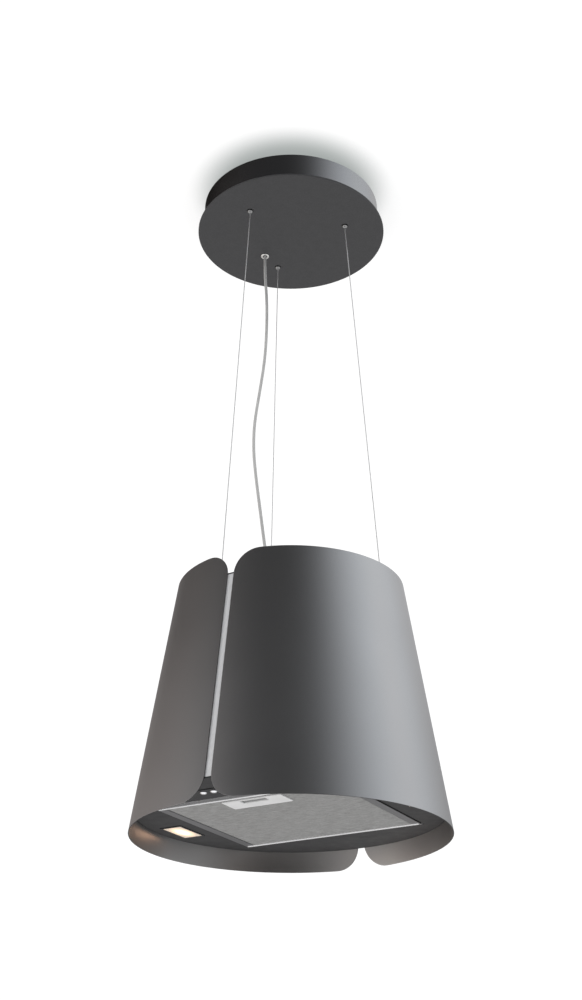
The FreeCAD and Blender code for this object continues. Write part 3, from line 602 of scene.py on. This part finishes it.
def refined_parts():
    """CAD parts shown with rounded edges, by the width of the rounding."""
    edges = {
        0.5 * MM: {"base_plate": DARK_PAINT, "top_cover": COVER_PAINT, "suspension_ring": ZINC,
                   "slit_profile_front": BAR_METAL, "slit_profile_rear": BAR_METAL,
                   "filter_frame": SHADED_FRAME_METAL, "filter_handle": HANDLE_PLASTIC},
        0.4 * MM: {"canopy_disc": DISC_PAINT, "canopy_drum": DRUM_SHADED_PAINT},
        0.3 * MM: {"lamp_bezel_left": DARK_PAINT, "lamp_bezel_right": DARK_PAINT,
                   "button_bezel": DARK_PAINT, "filter_latch": GREY_PLASTIC,
                   "lamp_lens_left": LENS, "lamp_lens_right": LENS, "wire_anchors": NICKEL,
                   "cover_screws": SCREW_STEEL, "cord_gland_hood": GREY_PLASTIC,
                   "cord_ring": NICKEL},
        0.2 * MM: {f"gripper_plunger_{letter}": DULL_STEEL for letter in "abc"},
    }
    for width, parts in edges.items():
        for node, material in parts.items():
            refined(node, width, material)


def paint_frame_parts():
    """Materials of the CAD parts that stay as they are."""
    by_slot = {
        "shell_paint": SHELL_PAINT, "canopy_paint": SHELL_PAINT, "dark_paint": DARK_PAINT,
        "cover_paint": COVER_PAINT, "profile_aluminium": BAR_METAL, "zinc_steel": ZINC,
        "screw_steel": SCREW_STEEL, "nickel": NICKEL, "spring_steel": SCREW_STEEL,
        "magnet": NICKEL, "wire_steel": WIRE_STEEL, "cord_sheath": CORD_SHEATH,
        "gland_plastic": GREY_PLASTIC, "filter_frame_aluminium": SHADED_FRAME_METAL,
        "filter_mesh_aluminium": MESH_METAL, "handle_plastic": HANDLE_PLASTIC,
        "carbon_case": BLACK_PLASTIC, "fan_plastic": FAN_PLASTIC, "motor_steel": ZINC,
        "rubber": RUBBER, "box_plastic": BLACK_PLASTIC, "lamp_lens": LENS,
        "button_chrome": CHROME,
    }
    for row in frame["record"]["subparts"]:
        node = frame["nodes"][row["node"]]
        for slot in node.material_slots:
            slot.material = by_slot[row["material_slot"]]


# ---------------------------------------------------------------- stage and light

def stage_material(name, colour, glow):
    """Pale surface that only shows from its front, so that it never hides the object."""
    kit = material(name, colour, 0.0, 0.8, Specular_IOR_Level=0.0)
    kit["shader"].inputs["Emission Color"].default_value = (1, 1, 1, 1)
    kit["shader"].inputs["Emission Strength"].default_value = glow
    tint(kit, noise(kit, 3), 0.99, 1.01)
    tree = kit["tree"]
    clear = tree.nodes.new("ShaderNodeBsdfTransparent")
    facing = tree.nodes.new("ShaderNodeNewGeometry")
    mix = tree.nodes.new("ShaderNodeMixShader")
    tree.links.new(facing.outputs["Backfacing"], mix.inputs["Fac"])
    tree.links.new(kit["shader"].outputs["BSDF"], mix.inputs[1])
    tree.links.new(clear.outputs["BSDF"], mix.inputs[2])
    tree.links.new(mix.outputs["Shader"], tree.nodes["Material Output"].inputs["Surface"])
    return kit


def ring_mesh(name, inner, z, facing_down):
    """Flat level ring from an inner radius out to the stage's edge."""
    verts, faces = [], []
    segments = 128
    for radius in (inner, STAGE_RADIUS):
        for k in range(segments):
            a = 2 * math.pi * k / segments
            verts.append((radius * math.cos(a), radius * math.sin(a), z))
    for k in range(segments):
        n = (k + 1) % segments
        face = [k, n, segments + n, segments + k]
        faces.append(face if facing_down else face[::-1])
    mesh = bpy.data.meshes.new(name)
    mesh.from_pydata(verts, [], faces)
    return link(bpy.data.objects.new(name, mesh))


def contact_shade(kit):
    """Painted shade on the ceiling in front of the drum, where the light from the back is kept off.
    """
    tree, shader = kit["tree"], kit["shader"]
    place = tree.nodes.new("ShaderNodeTexCoord")
    offset = tree.nodes.new("ShaderNodeVectorMath")
    offset.operation = "SUBTRACT"
    offset.inputs[1].default_value = (SHADE_OFFSET * math.sin(CAMERA_AZIMUTH),
                                      -SHADE_OFFSET * math.cos(CAMERA_AZIMUTH), 0)
    tree.links.new(place.outputs["Object"], offset.inputs[0])
    reach = tree.nodes.new("ShaderNodeVectorMath")
    reach.operation = "LENGTH"
    tree.links.new(offset.outputs["Vector"], reach.inputs[0])
    shade = tree.nodes.new("ShaderNodeMapRange")
    shade.interpolation_type = "SMOOTHSTEP"
    shade.inputs["From Min"].default_value = SHADE_START
    shade.inputs["From Max"].default_value = SHADE_END
    tree.links.new(reach.outputs["Value"], shade.inputs["Value"])
    # painted shade: the ceiling's colour and glow go darker near the drum
    for socket, share in (("Base Color", 0.45), ("Emission Color", 1.0)):
        mix = tree.nodes.new("ShaderNodeMix")
        mix.data_type = "RGBA"
        mix.inputs["A"].default_value = (0.43 * share, 0.46 * share, 0.45 * share, 1)
        mix.inputs["B"].default_value = (share, share, share, 1)
        tree.links.new(shade.outputs["Result"], mix.inputs["Factor"])
        tree.links.new(mix.outputs["Result"], shader.inputs[socket])


def make_stage():
    """White ceiling round the drum and a pale floor far below the hood."""
    ceiling = ring_mesh("ceiling", DRUM_RADIUS - 1.2 * MM, 0.2 * MM, True)
    white = stage_material("ceiling white", (0.45, 0.45, 0.45), 0.72)
    contact_shade(white)
    ceiling.data.materials.append(white["mat"])
    ceiling.visible_glossy = False
    floor = ring_mesh("floor", 1 * MM, RIM - FLOOR_DROP, False)
    floor.data.materials.append(stage_material("floor pale", (0.85, 0.85, 0.84), 0.3)["mat"])
    floor.visible_glossy = False
    floor.visible_diffuse = False
    floor.visible_shadow = False


# Brightness of the studio around the object: degrees right of the camera's side, then the
# panels below, level with, above and high above the object, and how warm the upper three are.
PANELS = [
    (-180, 1.3, 0.30, 0.50, 0.10, 0.00), (-160, 1.3, 0.30, 0.10, 0.00, 0.10),
    (-135, 1.3, 0.36, 0.06, 0.00, 0.14), (-100, 1.3, 0.82, 0.15, 0.02, 0.13),
    (-70, 1.3, 1.20, 0.18, 0.03, 0.08), (-45, 1.3, 0.56, 0.07, 0.04, 0.00),
    (-15, 1.3, 0.09, 0.062, 0.048, 0.00), (10, 1.3, 0.05, 0.078, 0.064, 0.00),
    (32, 1.3, 0.06, 0.20, 0.19, -0.03), (55, 1.3, 0.22, 0.65, 0.62, -0.05),
    (85, 1.3, 0.75, 1.12, 1.02, -0.06), (110, 1.3, 0.62, 1.02, 0.98, -0.06),
    (132, 1.3, 0.44, 0.72, 0.80, 0.00), (150, 1.3, 0.36, 0.70, 0.66, 0.00),
    (165, 1.3, 0.32, 0.76, 0.50, 0.00), (180, 1.3, 0.30, 0.50, 0.10, 0.00),
]
# elevations, in degrees, between which one set of panels turns into the next
BLENDS = [(-50, -25), (12, 31), (31, 40)]


def panel_ramp(tree, column):
    """Ramp of one column of the panels; it goes once round, from the side behind the object."""
    ramp = tree.nodes.new("ShaderNodeValToRGB")
    ramp.color_ramp.interpolation = "B_SPLINE"
    elements = ramp.color_ramp.elements
    while len(elements) < len(PANELS):
        elements.new(0.5)
    for element, panel in zip(elements, PANELS):
        value, warmth = panel[1 + column], panel[5] if column else 0
        element.position = (panel[0] + 180) / 360
        element.color = (value * (1 + 0.5 * warmth), value * (1 - 0.25 * warmth),
                         value * (1 - 0.7 * warmth), 1)
    return ramp


def make_world():
    """White for the eye; a studio of soft panels for the light."""
    world = bpy.data.worlds.new("studio")
    bpy.context.scene.world = world
    world.use_nodes = True
    tree = world.node_tree
    tree.nodes.clear()
    join = tree.links.new

    def maths(operation, *inputs):
        node = tree.nodes.new("ShaderNodeMath")
        node.operation = operation
        for socket, value in zip(node.inputs, inputs):
            if isinstance(value, (int, float)):
                socket.default_value = value
            else:
                join(value, socket)
        return node.outputs[0]

    def background(colour):
        node = tree.nodes.new("ShaderNodeBackground")
        if isinstance(colour, tuple):
            node.inputs["Color"].default_value = colour
        else:
            join(colour, node.inputs["Color"])
        return node.outputs[0]

    place = tree.nodes.new("ShaderNodeTexCoord")
    parts = tree.nodes.new("ShaderNodeSeparateXYZ")
    join(place.outputs["Generated"], parts.inputs[0])
    azimuth = maths("ARCTAN2", parts.outputs["X"], maths("MULTIPLY", parts.outputs["Y"], -1))
    share = maths("DIVIDE", maths("ADD", azimuth, math.pi - CAMERA_AZIMUTH), 2 * math.pi)
    share = maths("FRACT", maths("ADD", share, 1))
    colour = None
    for column in range(4):
        ramp = panel_ramp(tree, column)
        join(share, ramp.inputs["Fac"])
        if colour is None:
            colour = ramp.outputs["Color"]
            continue
        start, end = BLENDS[column - 1]
        rise = tree.nodes.new("ShaderNodeMapRange")
        rise.interpolation_type = "SMOOTHSTEP"
        rise.inputs["From Min"].default_value = math.sin(math.radians(start))
        rise.inputs["From Max"].default_value = math.sin(math.radians(end))
        join(parts.outputs["Z"], rise.inputs["Value"])
        mix = tree.nodes.new("ShaderNodeMix")
        mix.data_type = "RGBA"
        join(rise.outputs["Result"], mix.inputs["Factor"])
        join(colour, mix.inputs["A"])
        join(ramp.outputs["Color"], mix.inputs["B"])
        colour = mix.outputs["Result"]
    rays = tree.nodes.new("ShaderNodeLightPath")
    mix = tree.nodes.new("ShaderNodeMixShader")
    join(rays.outputs["Is Camera Ray"], mix.inputs["Fac"])
    join(background(colour), mix.inputs[1])
    join(background((1, 1, 1, 1)), mix.inputs[2])
    out = tree.nodes.new("ShaderNodeOutputWorld")
    join(mix.outputs[0], out.inputs["Surface"])


def lamp_glow():
    """Warm light that the lit lenses throw on the parts around them."""
    for node in ("lamp_lens_left", "lamp_lens_right"):
        low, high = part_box(node)
        light = bpy.data.lights.new(f"{node}_glow", "AREA")
        light.shape = "RECTANGLE"
        light.size, light.size_y = high.x - low.x, high.y - low.y
        light.energy = 0.03
        light.color = (1.0, 0.60, 0.38)
        obj = link(bpy.data.objects.new(f"{node}_glow", light))
        obj.location = ((low.x + high.x) / 2, (low.y + high.y) / 2, low.z - 2 * MM)
        obj.visible_camera = False


# ---------------------------------------------------------------- build

make_camera()
suspension_wires()
power_cord()
paint_frame_parts()
for side, name in ((-1, "left"), (1, "right")):
    shell(side, name)
filter_mesh()
refined_parts()
end_rail_highlight_faces()
lamp_glow()
make_stage()
make_world()
bpy.context.scene.view_settings.view_transform = "Standard"
